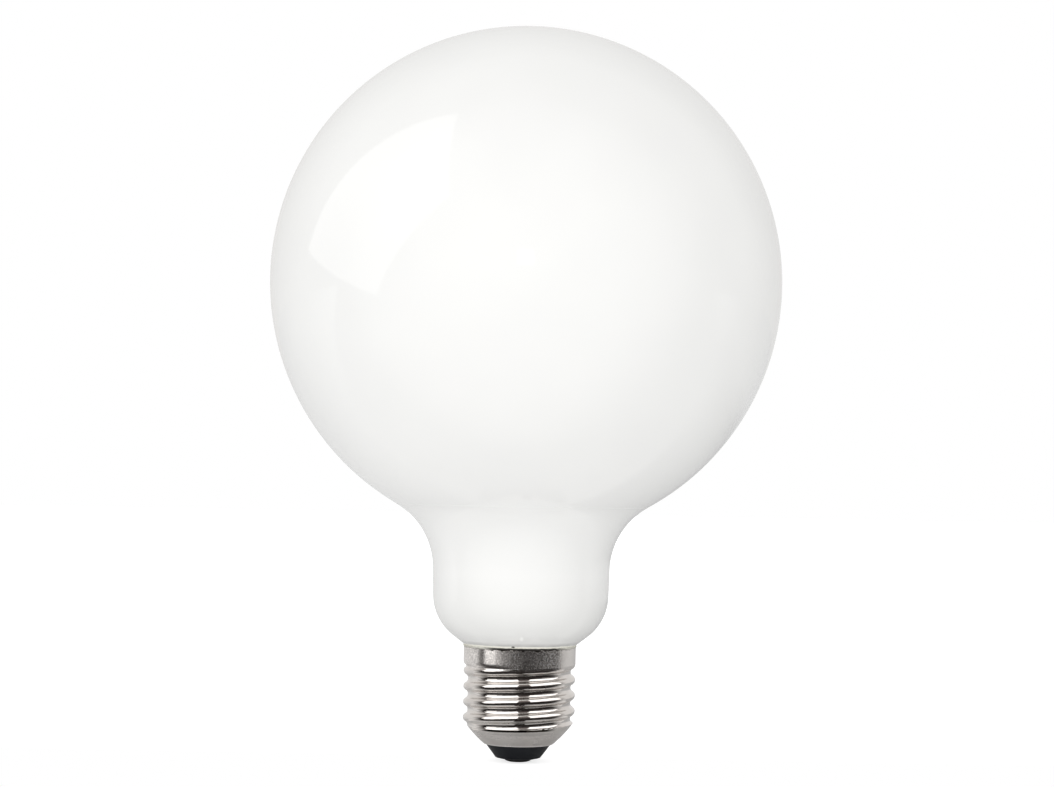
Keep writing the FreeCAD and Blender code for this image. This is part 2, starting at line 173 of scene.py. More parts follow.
def makeThreadTree():
    # X of the outline is unused, Y runs from 0 on the outside of the sheet to 1 on its inside
    numbers = [
        "Pitch", "Start", "Crest", "Root", "Wave", "Blend", "Wall", "Foot", "Foot wall", "Sharp angle",
        "Collar", "Collar end", "Dome radius", "Dome across", "Dome up", "Dome blend",
        "Fill from", "Fill to", "Fill below", "Fill above",
        "Ridge", "Ridge low", "Ridge high", "Ridge turn", "Ridge reach",
    ]
    tree, sizes = startTree("rolledShell", numbers, ["Segments", "Turns"])
    mesh, turn, point = spreadOutline(tree, sizes)
    height = point["Z"]
    halfPitch = calc(tree, "MULTIPLY", sizes["Pitch"], 0.5)

    def legOf(reach):
        waveSquare = calc(tree, "POWER", sizes["Wave"], 2)
        rest = calc(tree, "SUBTRACT", waveSquare, calc(tree, "POWER", reach, 2))
        return calc(tree, "SQRT", calc(tree, "MAXIMUM", rest, 0))

    def waveAt(offset, crest):
        reach = calc(tree, "ABSOLUTE", offset)
        toRoot = calc(tree, "SUBTRACT", halfPitch, reach)
        onCrest = calc(tree, "ADD", calc(tree, "SUBTRACT", crest, sizes["Wave"]), legOf(reach))
        onRoot = calc(tree, "SUBTRACT", calc(tree, "ADD", sizes["Root"], sizes["Wave"]), legOf(toRoot))
        nearCrest = calc(tree, "LESS_THAN", reach, toRoot)
        return calc(tree, "MULTIPLY_ADD", calc(tree, "SUBTRACT", onCrest, onRoot), nearCrest, onRoot)

    def easeIn(value, low, high, way="SMOOTHSTEP"):
        node = addNode(tree, "ShaderNodeMapRange", {"Value": value, "From Min": low, "From Max": high})
        node.interpolation_type = way
        return node.outputs["Result"]

    climb = calc(tree, "MULTIPLY_ADD", turn, sizes["Pitch"], sizes["Start"])
    overClimb = calc(tree, "SUBTRACT", height, climb)
    offset = calc(tree, "WRAP", overClimb, halfPitch, calc(tree, "MULTIPLY", halfPitch, -1))
    thread = waveAt(offset, sizes["Crest"])
    # The last groove's turn, counted on from where it begins to grow shallow
    onward = calc(tree, "ADD", turn, calc(tree, "LESS_THAN", turn, sizes["Fill from"]))
    turnsUp = calc(tree, "ADD", onward, sizes["Turns"])
    lastCrest = calc(tree, "MULTIPLY_ADD", turnsUp, sizes["Pitch"], sizes["Start"])
    below = calc(tree, "MAXIMUM", calc(tree, "SUBTRACT", sizes["Collar end"], height), 0)
    collar = waveAt(calc(tree, "MINIMUM", below, halfPitch), sizes["Collar"])
    runOut = easeIn(onward, sizes["Fill from"], sizes["Fill to"], "LINEAR")
    overCrest = calc(tree, "SUBTRACT", height, lastCrest)
    fill = calc(tree, "MULTIPLY", runOut, easeIn(overCrest, sizes["Fill below"], sizes["Fill above"]))
    collar = calc(tree, "MULTIPLY_ADD", calc(tree, "SUBTRACT", sizes["Collar"], collar), fill, collar)
    above = calc(tree, "MAXIMUM", calc(tree, "SUBTRACT", height, sizes["Collar end"]), 0)
    # The thread itself sinks out of sight under the collar
    sunk = calc(tree, "SUBTRACT", thread, calc(tree, "MINIMUM", above, sizes["Wave"]))
    outside = calc(tree, "SMOOTH_MAX", sunk, collar, sizes["Blend"])
    domeRest = calc(tree, "POWER", calc(tree, "SUBTRACT", sizes["Dome up"], height), 2)
    domeSquare = calc(tree, "POWER", sizes["Dome radius"], 2)
    domeLeg = calc(tree, "SQRT", calc(tree, "SUBTRACT", domeSquare, domeRest))
    dome = calc(tree, "ADD", sizes["Dome across"], domeLeg)
    relief = calc(tree, "SUBTRACT", thread, sizes["Root"])
    relief = calc(tree, "DIVIDE", relief, calc(tree, "SUBTRACT", sizes["Crest"], sizes["Root"]))
    fromFront = calc(tree, "ABSOLUTE", calc(tree, "SUBTRACT", turn, sizes["Ridge turn"]))
    halfReach = calc(tree, "MULTIPLY", sizes["Ridge reach"], 0.5)
    ridge = calc(tree, "MULTIPLY", sizes["Ridge"], easeIn(fromFront, sizes["Ridge reach"], halfReach))
    ridge = calc(tree, "MULTIPLY", ridge, easeIn(height, sizes["Ridge low"], sizes["Ridge high"]))
    dome = calc(tree, "MULTIPLY_ADD", relief, ridge, dome)  # the first crest dies out over the dome
    outside = calc(tree, "SMOOTH_MIN", outside, dome, sizes["Dome blend"])
    # The sheet thins from its foot's edge to the wall over a millimetre
    fade = addNode(tree, "ShaderNodeMapRange", {"Value": height, "From Min": sizes["Foot"]})
    feed(tree, fade.inputs["From Max"], calc(tree, "ADD", sizes["Foot"], mm))
    feed(tree, fade.inputs["To Min"], sizes["Foot wall"])
    feed(tree, fade.inputs["To Max"], sizes["Wall"])
    radius = calc(tree, "SUBTRACT", outside, calc(tree, "MULTIPLY", point["Y"], fade.outputs["Result"]))
    wrapRound(tree, sizes, mesh, turn, radius, height)
    return tree


def growPiece(name, node, tree, outline, material, sizes):
    # outline: (radius, looseness or wall share, height) in metres
    base = bpy.data.meshes.new(name + "Outline")
    base.from_pydata(outline, [], [])
    holder = bpy.data.objects.new(name + "Outline", base)
    scene.collection.objects.link(holder)
    shape = holder.modifiers.new("shape", "NODES")
    shape.node_group = tree
    wanted = dict(sizes, Material=material)
    for item in tree.interface.items_tree:
        if item.in_out == "INPUT" and item.name in wanted:
            shape[item.identifier] = wanted[item.name]
    mesh = bpy.data.meshes.new_from_object(holder.evaluated_get(bpy.context.evaluated_depsgraph_get()))
    mesh.name = name
    bpy.data.objects.remove(holder)
    piece = bpy.data.objects.new(name, mesh)
    scene.collection.objects.link(piece)
    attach(piece, "root")
    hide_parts(node)
    mesh.calc_loop_triangles()
    print(name, "made,", len(mesh.loop_triangles), "triangles")
    return piece


# The stretch of a noise's range that shades soft patches and firm ones
softNoise = (0.3, 0.7)
firmNoise = (0.35, 0.65)


# Materials read Object coordinates, which are metres in the part's own frame
def startMaterial(name):
    material = bpy.data.materials.new(name)
    material.use_nodes = True
    tree = material.node_tree
    shader = tree.nodes["Principled BSDF"]
    place = addNode(tree, "ShaderNodeTexCoord").outputs["Object"]
    return material, tree, shader, place


def grainAt(tree, place, size, detail=2.0, stretch=(1, 1, 1)):
    turned = addNode(tree, "ShaderNodeMapping", {"Vector": place, "Scale": stretch}).outputs[0]
    feeds = {"Vector": turned, "Scale": 1 / size, "Detail": detail}
    return addNode(tree, "ShaderNodeTexNoise", feeds).outputs[0]


def ringPlace(tree, place, radius):
    # Distance round the axis and height, with the seam at the back
    axes = addNode(tree, "ShaderNodeSeparateXYZ", {"Vector": place}).outputs
    angle = calc(tree, "ARCTAN2", axes["X"], calc(tree, "MULTIPLY", axes["Y"], -1))
    around = calc(tree, "MULTIPLY", angle, radius)
    return addNode(tree, "ShaderNodeCombineXYZ", {"X": around, "Z": axes["Z"]}).outputs[0]


def between(tree, value, low, high, start=0.0, end=1.0):
    node = addNode(tree, "ShaderNodeMapRange", {"Value": value, "From Min": low, "From Max": high})
    node.inputs["To Min"].default_value = start
    node.inputs["To Max"].default_value = end
    return node.outputs["Result"]


def blendColours(tree, share, first, second):
    node = addNode(tree, "ShaderNodeMix", data_type="RGBA")
    feed(tree, node.inputs["Factor"], share)
    feed(tree, node.inputs[6], first)
    feed(tree, node.inputs[7], second)
    return node.outputs[2]


def addBump(tree, shader, height, distance, strength=1.0):
    bump = addNode(tree, "ShaderNodeBump", {"Height": height, "Distance": distance, "Strength": strength})
    tree.links.new(bump.outputs[0], shader.inputs["Normal"])


opalFinish = {
    "white": (0.93, 0.93, 0.915, 1), "shade": (0.905, 0.905, 0.892, 1), "cloudSize": 0.03,
    "gloss": (0.035, 0.07), "bending": 1.5, "rippleSize": 0.02, "ripple": 0.00001,
    "greyNearCap": (0.79, 0.79, 0.773, 1), "greyNearCapSpan": (0.0438, 0.027),
    "seat": (0.5, 0.5, 0.487, 1), "seatShadeSpan": (0.0286, 0.0278), "seatShadePatch": 0.004, "seatShadeDepth": (0.5, 1.0),
    "smear": (0.9, 0.89, 0.82, 1), "smearSpan": (0.02775, 0.02769), "smearLump": 0.0009, "smearBand": 0.0002,
    "pitShade": (0.05, 0.047, 0.04, 1), "pitAt": (-0.0015, -0.0132, 0.0275), "pitSize": (0.0005, 0.00025),
    "paintedGlint": (0.97, 0.97, 0.95, 1), "glintAt": (0.0004, -0.0159, 0.0296), "glintSize": (0.0011, 0.0003),
    "glintNarrow": 2,
}


def makeOpalGlass():
    material, tree, shader, place = startMaterial("opalGlass")
    clouds = grainAt(tree, place, opalFinish["cloudSize"])
    body = blendColours(tree, between(tree, clouds, *softNoise), opalFinish["white"], opalFinish["shade"])
    height = addNode(tree, "ShaderNodeSeparateXYZ", {"Vector": place}).outputs["Z"]

    # Near the cap the glass is darker, painted shade dims it over the cement, and a film of cement ends it
    greyNearCap = between(tree, height, *opalFinish["greyNearCapSpan"])
    body = blendColours(tree, greyNearCap, body, opalFinish["greyNearCap"])
    lumps = grainAt(tree, place, opalFinish["smearLump"], 3)
    ragged = calc(tree, "MULTIPLY_ADD", lumps, opalFinish["smearBand"], height)
    # Painted shade on the glass just above the cement, deeper in patches
    patches = grainAt(tree, place, opalFinish["seatShadePatch"])
    patchy = between(tree, patches, *firmNoise, *opalFinish["seatShadeDepth"])
    seat = calc(tree, "MULTIPLY", between(tree, ragged, *opalFinish["seatShadeSpan"]), patchy)
    body = blendColours(tree, seat, body, opalFinish["seat"])
    smear = between(tree, ragged, *opalFinish["smearSpan"])
    body = blendColours(tree, smear, body, opalFinish["smear"])

    # Painted shade for a pit at the cement, and a painted glint of white on the cone
    fromPit = {0: place, 1: opalFinish["pitAt"]}
    fromPit = addNode(tree, "ShaderNodeVectorMath", fromPit, operation="DISTANCE").outputs["Value"]
    pitShade = between(tree, fromPit, *opalFinish["pitSize"])
    body = blendColours(tree, pitShade, body, opalFinish["pitShade"])
    apart = {0: place, 1: opalFinish["glintAt"]}
    apart = addNode(tree, "ShaderNodeVectorMath", apart, operation="SUBTRACT").outputs[0]
    narrow = {0: apart, 1: (opalFinish["glintNarrow"], 1, 1)}
    narrow = addNode(tree, "ShaderNodeVectorMath", narrow, operation="MULTIPLY").outputs[0]
    fromGlint = addNode(tree, "ShaderNodeVectorMath", {0: narrow}, operation="LENGTH").outputs["Value"]
    paintedGlint = between(tree, fromGlint, *opalFinish["glintSize"])
    tree.links.new(blendColours(tree, paintedGlint, body, opalFinish["paintedGlint"]), shader.inputs["Base Color"])
    gloss = between(tree, clouds, *softNoise, *opalFinish["gloss"])
    tree.links.new(gloss, shader.inputs["Roughness"])
    shader.inputs["IOR"].default_value = opalFinish["bending"]
    addBump(tree, shader, grainAt(tree, place, opalFinish["rippleSize"]), opalFinish["ripple"])
    return material


nickelFinish = {
    "metal": (0.79, 0.755, 0.725, 1), "dull": (0.71, 0.675, 0.645, 1), "paintedShade": (0.04, 0.034, 0.028, 1),
    "stainSize": 0.004, "stainRange": (0.35, 0.75), "polished": 0.08, "satin": 0.22, "wear": 0.08,
    "underFrom": (-0.45, -0.7), "under": 0.2, "collarSpan": (0.0216, 0.0224),
    "speckSize": 0.00026, "speck": 0.000004, "grainSize": 0.0003, "grainAndGlint": (0.4, 1.7),
    "glintSidePatch": (-0.006, 0.003, 0.35, 1.0), "glintSideEnd": (0.0105, 0.0085),
    "lineSize": 0.0001, "lineLength": 6, "line": 0.6, "radius": 0.0131,
    "rimSpan": (0.02668, 0.02676), "rimBand": 0.0003, "rimLump": 0.0011, "rimRange": (0.38, 0.62),
    "lipHighlight": (0.0044, 0.0043), "lipHighlightColour": (0.96, 0.93, 0.9, 1), "lipHighlightMetallic": (1, 0.2),
    "crease": 0.00819, "creaseSlope": -0.02, "creaseWidth": (0.00034, 0.0002),
    "creaseFront": (-0.0085, -0.0105),
}

# Painted shade along the rim is thick over the front and thin towards the sides
rimShade = {"left": (-0.0088, -0.0058), "right": (0.0108, 0.0083), "least": 0.3}


def rimShare(tree, place):
    sideways = addNode(tree, "ShaderNodeSeparateXYZ", {"Vector": place}).outputs["X"]
    left = between(tree, sideways, *rimShade["left"])
    both = calc(tree, "MULTIPLY", left, between(tree, sideways, *rimShade["right"]))
    return between(tree, both, 0, 1, rimShade["least"], 1)


def makeNickel():
    material, tree, shader, place = startMaterial("platedNickel")
    axes = addNode(tree, "ShaderNodeSeparateXYZ", {"Vector": place}).outputs
    height = axes["Z"]
    stains = grainAt(tree, place, nickelFinish["stainSize"], 4)
    stained = between(tree, stains, *nickelFinish["stainRange"])
    body = blendColours(tree, stained, nickelFinish["metal"], nickelFinish["dull"])

    # Speckle on the collar: grain of the plating with painted glints, more of it on one side
    collar = between(tree, height, *nickelFinish["collarSpan"])
    glintSide = between(tree, axes["X"], *nickelFinish["glintSidePatch"])
    glintSide = calc(tree, "MULTIPLY", glintSide, between(tree, axes["X"], *nickelFinish["glintSideEnd"]))
    grain = grainAt(tree, place, nickelFinish["grainSize"], 1)
    shade = between(tree, grain, *firmNoise, *nickelFinish["grainAndGlint"])
    speckled = calc(tree, "MULTIPLY", glintSide, collar)
    shade = calc(tree, "MULTIPLY_ADD", calc(tree, "SUBTRACT", shade, 1), speckled, 1)
    body = addNode(tree, "ShaderNodeVectorMath", {0: body, 1: shade}, operation="MULTIPLY").outputs[0]

    # A painted highlight lines the dome's lip; painted shade lies under the cement and where the thread runs
    # out over the dome
    lipHighlight = between(tree, height, *nickelFinish["lipHighlight"])
    body = blendColours(tree, lipHighlight, body, nickelFinish["lipHighlightColour"])
    ragged = between(tree, grainAt(tree, place, nickelFinish["rimLump"], 3), *nickelFinish["rimRange"])
    edge = calc(tree, "MULTIPLY_ADD", ragged, nickelFinish["rimBand"], height)
    seam = between(tree, edge, *nickelFinish["rimSpan"])
    seam = calc(tree, "MULTIPLY", seam, rimShare(tree, place))
    # A painted shade line in the crease over the front, where the thread runs out
    level = calc(tree, "MULTIPLY_ADD", axes["X"], nickelFinish["creaseSlope"], height)
    apart = calc(tree, "ABSOLUTE", calc(tree, "SUBTRACT", level, nickelFinish["crease"]))
    crease = between(tree, apart, *nickelFinish["creaseWidth"])
    crease = calc(tree, "MULTIPLY", crease, between(tree, axes["Y"], *nickelFinish["creaseFront"]))
    shadeMark = calc(tree, "MAXIMUM", seam, crease)
    tree.links.new(blendColours(tree, shadeMark, body, nickelFinish["paintedShade"]), shader.inputs["Base Color"])
    metallic = between(tree, height, *nickelFinish["lipHighlight"], *nickelFinish["lipHighlightMetallic"])
    tree.links.new(metallic, shader.inputs["Metallic"])

    # Polished on the thread, satin and brushed on the collar, duller where it faces down
    finish = between(tree, collar, 0, 1, nickelFinish["polished"], nickelFinish["satin"])
    worn = calc(tree, "MULTIPLY_ADD", calc(tree, "SUBTRACT", stains, 0.5), nickelFinish["wear"], finish)
    slope = addNode(tree, "ShaderNodeNewGeometry").outputs["Normal"]
    slope = addNode(tree, "ShaderNodeSeparateXYZ", {"Vector": slope}).outputs["Z"]
    under = between(tree, slope, *nickelFinish["underFrom"], 0, nickelFinish["under"])
    tree.links.new(calc(tree, "ADD", worn, under), shader.inputs["Roughness"])
    brushed = ringPlace(tree, place, nickelFinish["radius"])
    lines = grainAt(tree, brushed, nickelFinish["lineSize"], 1, (1 / nickelFinish["lineLength"], 1, 1))
    specks = calc(tree, "MULTIPLY", grainAt(tree, place, nickelFinish["speckSize"], 2), glintSide)
    rough = calc(tree, "MULTIPLY_ADD", lines, nickelFinish["line"], specks)
    addBump(tree, shader, calc(tree, "MULTIPLY", rough, collar), nickelFinish["speck"])
    return material


cementFinish = {
    "cream": (0.86, 0.85, 0.77, 1), "shade": (0.70, 0.68, 0.60, 1), "paintedShade": (0.03, 0.028, 0.025, 1),
    "grainSize": 0.0005, "grain": 0.00004, "grainRange": (0.35, 0.7), "rough": (0.7, 0.95),
    "shadeMark": (0.02714, 0.02719), "shadeBand": 0.0002, "shadeLump": 0.0011,
}


def makeCement():
    material, tree, shader, place = startMaterial("cappingCement")
    grain = grainAt(tree, place, cementFinish["grainSize"], 4)
    shaded = between(tree, grain, *cementFinish["grainRange"])
    body = blendColours(tree, shaded, cementFinish["cream"], cementFinish["shade"])
    height = addNode(tree, "ShaderNodeSeparateXYZ", {"Vector": place}).outputs["Z"]
    # Painted shade along the bead's lower edge, over the rim
    lumps = grainAt(tree, place, cementFinish["shadeLump"], 3)
    lowered = calc(tree, "SUBTRACT", height, cementFinish["shadeBand"] / 2)
    ragged = calc(tree, "MULTIPLY_ADD", lumps, cementFinish["shadeBand"], lowered)
    shadeMark = between(tree, ragged, *cementFinish["shadeMark"], 1, 0)  # along the lower edge, over the rim
    shadeMark = calc(tree, "MULTIPLY", shadeMark, rimShare(tree, place))
    tree.links.new(blendColours(tree, shadeMark, body, cementFinish["paintedShade"]), shader.inputs["Base Color"])
    tree.links.new(between(tree, grain, 0, 1, *cementFinish["rough"]), shader.inputs["Roughness"])
    addBump(tree, shader, grain, cementFinish["grain"])
    return material


insulatorFinish = {
    "black": (0.009, 0.010, 0.013, 1), "bloom": (0.014, 0.0155, 0.019, 1), "patchSize": 0.003,
    "satin": (0.36, 0.5), "sheen": 0.2, "grainSize": 0.0003, "grain": 0.000006,
}


def makeInsulatorBlack():
    material, tree, shader, place = startMaterial("mouldedBlack")
    patches = grainAt(tree, place, insulatorFinish["patchSize"], 3)
    mottled = between(tree, patches, *softNoise)
    body = blendColours(tree, mottled, insulatorFinish["black"], insulatorFinish["bloom"])
    tree.links.new(body, shader.inputs["Base Color"])
    satin = between(tree, patches, *softNoise, *insulatorFinish["satin"])
    tree.links.new(satin, shader.inputs["Roughness"])
    shader.inputs["Specular IOR Level"].default_value = insulatorFinish["sheen"]
    addBump(tree, shader, grainAt(tree, place, insulatorFinish["grainSize"]), insulatorFinish["grain"])
    return material


# The contact's colours are near black, painted shade for the shadow under the cap, mottled with tarnish
contactFinish = {
    "metal": (0.035, 0.033, 0.031, 1), "tarnish": (0.018, 0.017, 0.016, 1), "patchSize": 0.0015,
    "dull": (0.35, 0.6), "grain": 0.00001,
}


def makeContactMetal():
    material, tree, shader, place = startMaterial("darkContact")
    patches = grainAt(tree, place, contactFinish["patchSize"], 4)
    mottled = between(tree, patches, *firmNoise)
    body = blendColours(tree, mottled, contactFinish["metal"], contactFinish["tarnish"])
    tree.links.new(body, shader.inputs["Base Color"])
    shader.inputs["Metallic"].default_value = 1
    dull = between(tree, patches, *softNoise, *contactFinish["dull"])
    tree.links.new(dull, shader.inputs["Roughness"])
    addBump(tree, shader, patches, contactFinish["grain"])
    return material


turningTree = makeTurningTree()
threadTree = makeThreadTree()
print("shape trees built")

shellSpan = nodeSpan("screw_shell")
glassSpan = nodeSpan("glass_globe")
insulatorSpan = nodeSpan("base_insulator")
rim = shellSpan["high"]
foot = shellSpan["low"]
beadHeight = 0.5
beadTop = rim + beadHeight
collarRadius = 13.13
tailRadius = 11.2
shoulderAngle = 52.5
tailTop = beadTop - (collarRadius - tailRadius) / math.tan(math.radians(shoulderAngle))


def turned(outline):
    return [(point.x * mm, 0, point.y * mm) for point in outline]


def smoothSizes(piece):
    # A turned piece without lumps, so any lump size and seed will do
    sizes = {"Waviness": 0.0, "Lump size": 0.01, "Seed": 1}
    sizes.update({"Segments": piece["segments"], "Sharp angle": piece["sharp"]})
    return sizes


# Glass: tail in the cap, cone and shoulder, neck, hollow curve, globe
glass = {
    "neckRadius": 20.54, "neckDraft": 1.4, "neckLength": 6.5, "neckFillet": 17.3, "shoulderRadius": 12,
    "segments": 240, "sharp": 0.6,
}


def makeGlass():
    globe = glassSpan["radius"]
    shoulder = glass["shoulderRadius"]
    hollow = glass["neckFillet"]
    offCone = aim(-shoulderAngle)
    offNeck = aim(-glass["neckDraft"])
    seat = Vector((collarRadius, beadTop))
    across = glass["neckRadius"] - shoulder * offNeck.x
    up = seat.y + ((across - seat.x) * offCone.x + shoulder) / -offCone.y
    shoulderCentre = Vector((across, up))
    neckFoot = shoulderCentre + offNeck * shoulder
    neckHead = neckFoot + aim(90 - glass["neckDraft"]) * glass["neckLength"]
    hollowCentre = neckHead + offNeck * hollow
    globeCentre = Vector((0, glassSpan["high"] - globe))
    lean = math.degrees(math.atan2(globeCentre.y - hollowCentre.y, -hollowCentre.x))
    outline = joinRuns(
        straightRun((0, glassSpan["low"]), (tailRadius, glassSpan["low"]), 3),
        straightRun((tailRadius, glassSpan["low"]), (tailRadius, tailTop), 3),
        straightRun((tailRadius, tailTop), shoulderCentre + offCone * shoulder, 8),
        arcRun(shoulderCentre, shoulder, -shoulderAngle, -glass["neckDraft"], 22),
        straightRun(neckFoot, neckHead, 8),
        arcRun(hollowCentre, hollow, 180 - glass["neckDraft"], lean, 26),
        arcRun(globeCentre, globe, lean - 180, 90, 110),
    )
    outline[-1].x = 0
    return growPiece("glassGlobe", "glass_globe", turningTree, turned(outline),
                     makeOpalGlass(), smoothSizes(glass))


# Cement: a ring between glass and collar, with an uneven bead squeezed out over the rim
cement = {
    "low": 23.8, "bore": 12.83, "overhang": 0.12, "slack": 0.01, "waviness": 0.22, "lump": 1.1, "seed": 7,
    "segments": 480, "sharp": 0.9,
}


def makeCementRing():
    bead = beadTop - rim
    bulge = (cement["overhang"] ** 2 + (bead / 2) ** 2) / (2 * cement["overhang"])
    spread = math.degrees(math.asin(bead / 2 / bulge))
    centre = Vector((collarRadius + cement["overhang"] - bulge, rim + bead / 2))
    beadRun = arcRun(centre, bulge, -spread, spread, 8)
    outline = joinRuns(
        straightRun((tailRadius, cement["low"]), (cement["bore"], cement["low"]), 1),
        straightRun((cement["bore"], cement["low"]), (cement["bore"], rim), 2),
        straightRun((cement["bore"], rim), beadRun[0], 2),
        beadRun,
        straightRun(beadRun[-1], (tailRadius, tailTop), 2),
        straightRun((tailRadius, tailTop), (tailRadius, cement["low"]), 1),
    )
    points = []
    for point in outline:
        loose = 1 if point.x > collarRadius - cement["slack"] and point.y > rim else 0
        points.append((point.x * mm, loose, point.y * mm))
    sizes = {"Segments": cement["segments"], "Sharp angle": cement["sharp"], "Seed": cement["seed"],
             "Waviness": cement["waviness"] * mm, "Lump size": cement["lump"] * mm}
    return growPiece("cementBead", "cement_ring", turningTree, points,
                     makeCement(), sizes)


# Shell: thin rolled sheet with a collar, a right-hand thread and a domed lower end
shell = {
    "pitch": 3.629, "start": 4.75, "crest": 13.1, "depth": 1.095, "wall": 0.3, "blend": 0.2,
    "collarLength": 3.3, "footWall": 0.45, "footRadius": 8.05, "footAngle": 50, "domeRadius": 28.2,
    "domeBlend": 0.08, "edge": 0.06, "edgeRound": 0.3, "fillTurns": (0.4, 0.74), "fillSpan": (-0.6, 0.3),
    "ridge": 0.5, "ridgeSpan": (6.8, 8.0), "ridgeTurns": (0.7, 0.2),
    "turns": 4, "rows": 270, "innerRows": 60, "segments": 256, "sharp": 0.9,
}


def makeShell():
    edge = shell["edge"]
    inset = edge / shell["wall"]
    near = shell["edgeRound"]
    rows = straightRun((0, foot + edge), (0, rim - edge), shell["rows"])
    rows += [Vector((inset * near, rim - edge * near)), Vector((inset, rim)), Vector((1 - inset, rim))]
    rows += [Vector((1 - inset * near, rim - edge * near))]
    rows += straightRun((1, rim - edge), (1, foot + edge), shell["innerRows"])
    rows += [Vector((1 - inset * near, foot + edge * near)), Vector((1 - inset, foot)), Vector((inset, foot))]
    rows += [Vector((inset * near, foot + edge * near)), Vector((0, foot + edge))]
    outline = [(0, point.x, point.y * mm) for point in rows]
    domeAim = aim(-shell["footAngle"])
    wave = ((shell["pitch"] / 4) ** 2 + (shell["depth"] / 2) ** 2) / shell["depth"]
    sizes = {
        "Pitch": shell["pitch"], "Start": shell["start"], "Crest": shell["crest"],
        "Root": shell["crest"] - shell["depth"], "Wave": wave, "Collar": collarRadius,
        "Collar end": rim - shell["collarLength"], "Dome radius": shell["domeRadius"],
        "Dome across": shell["footRadius"] - shell["domeRadius"] * domeAim.x,
        "Dome up": foot - shell["domeRadius"] * domeAim.y, "Foot": foot, "Wall": shell["wall"],
        "Foot wall": shell["footWall"], "Blend": shell["blend"], "Dome blend": shell["domeBlend"],
    }
    sizes["Fill below"], sizes["Fill above"] = shell["fillSpan"]
    sizes["Ridge low"], sizes["Ridge high"] = shell["ridgeSpan"]
    sizes["Ridge"] = shell["ridge"]
    sizes = {name: value * mm for name, value in sizes.items()}
    sizes.update({"Segments": shell["segments"], "Turns": shell["turns"], "Sharp angle": shell["sharp"]})
    # Shares of a turn: 0.5 is at the left and 0.75 at the front
    sizes["Fill from"], sizes["Fill to"] = shell["fillTurns"]
    sizes["Ridge turn"], sizes["Ridge reach"] = shell["ridgeTurns"]
    return growPiece("screwShell", "screw_shell", threadTree, outline,
                     makeNickel(), sizes)


# Insulator and contact: the dark end of the cap
tip = {
    "seat": 0.55, "stem": 1.2, "face": 3.3, "edge": 5.25, "crown": 0.45, "round": 0.4, "top": 7.63,
    "bore": 7.6, "head": 3.0, "flat": 1.6, "brim": 0.2, "segments": 160, "sharp": 0.5,
}


def roundCorner(before, corner, after, radius, steps):
    toBefore = (before - corner).normalized()
    toAfter = (after - corner).normalized()
    halfAngle = toBefore.angle(toAfter) / 2
    centre = corner + (toBefore + toAfter).normalized() * (radius / math.sin(halfAngle))
    start = corner + toBefore * (radius / math.tan(halfAngle)) - centre
    end = corner + toAfter * (radius / math.tan(halfAngle)) - centre
    points = []
    for step in range(steps + 1):
        points.append(centre + start.lerp(end, step / steps).normalized() * radius)
    return points


def makeTip():
    plugTop = insulatorSpan["high"]
    face = Vector((tip["face"], tip["seat"]))
    lowEdge = Vector((tip["edge"], tip["seat"] + tip["crown"]))
    coneTop = Vector((tip["top"], foot))
    outline = joinRuns(
        straightRun((tip["stem"], tip["seat"]), face, 2),
        roundCorner(face, lowEdge, coneTop, tip["round"], 8),
        straightRun(coneTop, (tip["bore"], foot), 1),
        straightRun((tip["bore"], foot), (tip["bore"], plugTop), 2),
        straightRun((tip["bore"], plugTop), (tip["stem"], plugTop), 2),
        straightRun((tip["stem"], plugTop), (tip["stem"], tip["seat"]), 2),
    )
    sizes = smoothSizes(tip)
    insulator = growPiece("baseInsulator", "base_insulator", turningTree, turned(outline),
                          makeInsulatorBlack(), sizes)

    brim = tip["seat"] - tip["brim"]
    reach = tip["head"] - tip["flat"]
    crown = (reach ** 2 + brim ** 2) / (2 * brim)
    sweep = math.degrees(math.asin(reach / crown))
    outline = joinRuns(
        straightRun((0, 0), (tip["flat"], 0), 2),
        arcRun(Vector((tip["flat"], crown)), crown, -90, -90 + sweep, 10),
        straightRun((tip["head"], brim), (tip["head"], tip["seat"]), 1),
        straightRun((tip["head"], tip["seat"]), (tip["stem"], tip["seat"]), 1),
        straightRun((tip["stem"], tip["seat"]), (tip["stem"], plugTop), 2),
        straightRun((tip["stem"], plugTop), (0, plugTop), 1),
    )
    contact = growPiece("centreContact", "centre_contact", turningTree, turned(outline),
                        makeContactMetal(), sizes)
    return insulator, contact


groups = {"glass": bpy.data.collections.new("glass"), "cap": bpy.data.collections.new("cap")}
groups["glass"].objects.link(makeGlass())
for piece in [makeCementRing(), makeShell(), *makeTip()]:
    groups["cap"].objects.link(piece)
print("pieces in place")


# Studio: a white table and sweep behind, a dark room in front, soft light and lamps to both sides
studio = {
    "tableWide": 4.0, "tableFront": 0.023, "tableStart": 0.012, "tableDrop": 0.00002,
    "notch": (264, 283, 0.0145), "tableGrey": (0.65, 0.65, 0.65, 1), "mottleSize": 0.3, "mottle": 0.97,
    "tableRough": 0.9, "tableSheen": 0.1, "tableGlow": 0.76, "tableShine": (0.05, 0.28),
    "shineFade": (0.0, -0.06), "farShine": 0.2, "farSide": (0.2, 0.3), "farBack": (0.04, 0.18),
    "ambient": 0.735, "ahead": 0.595, "brightest": (-0.165, -0.98, 0.08),
    "room": (0.02, 0.016, 0.015, 1), "roomTop": (0.21, 0.185, 0.175, 1), "roomFade": (0.15, 0.5),
    "sweep": (0.8, 0.79, 0.78, 1), "sweepFade": (-0.1, 0.4),
}


def backgroundRays(tree):
    path = addNode(tree, "ShaderNodeLightPath").outputs
    seen = calc(tree, "MAXIMUM", path["Is Camera Ray"], path["Is Glossy Ray"])
    return path, calc(tree, "MAXIMUM", seen, path["Is Transmission Ray"])


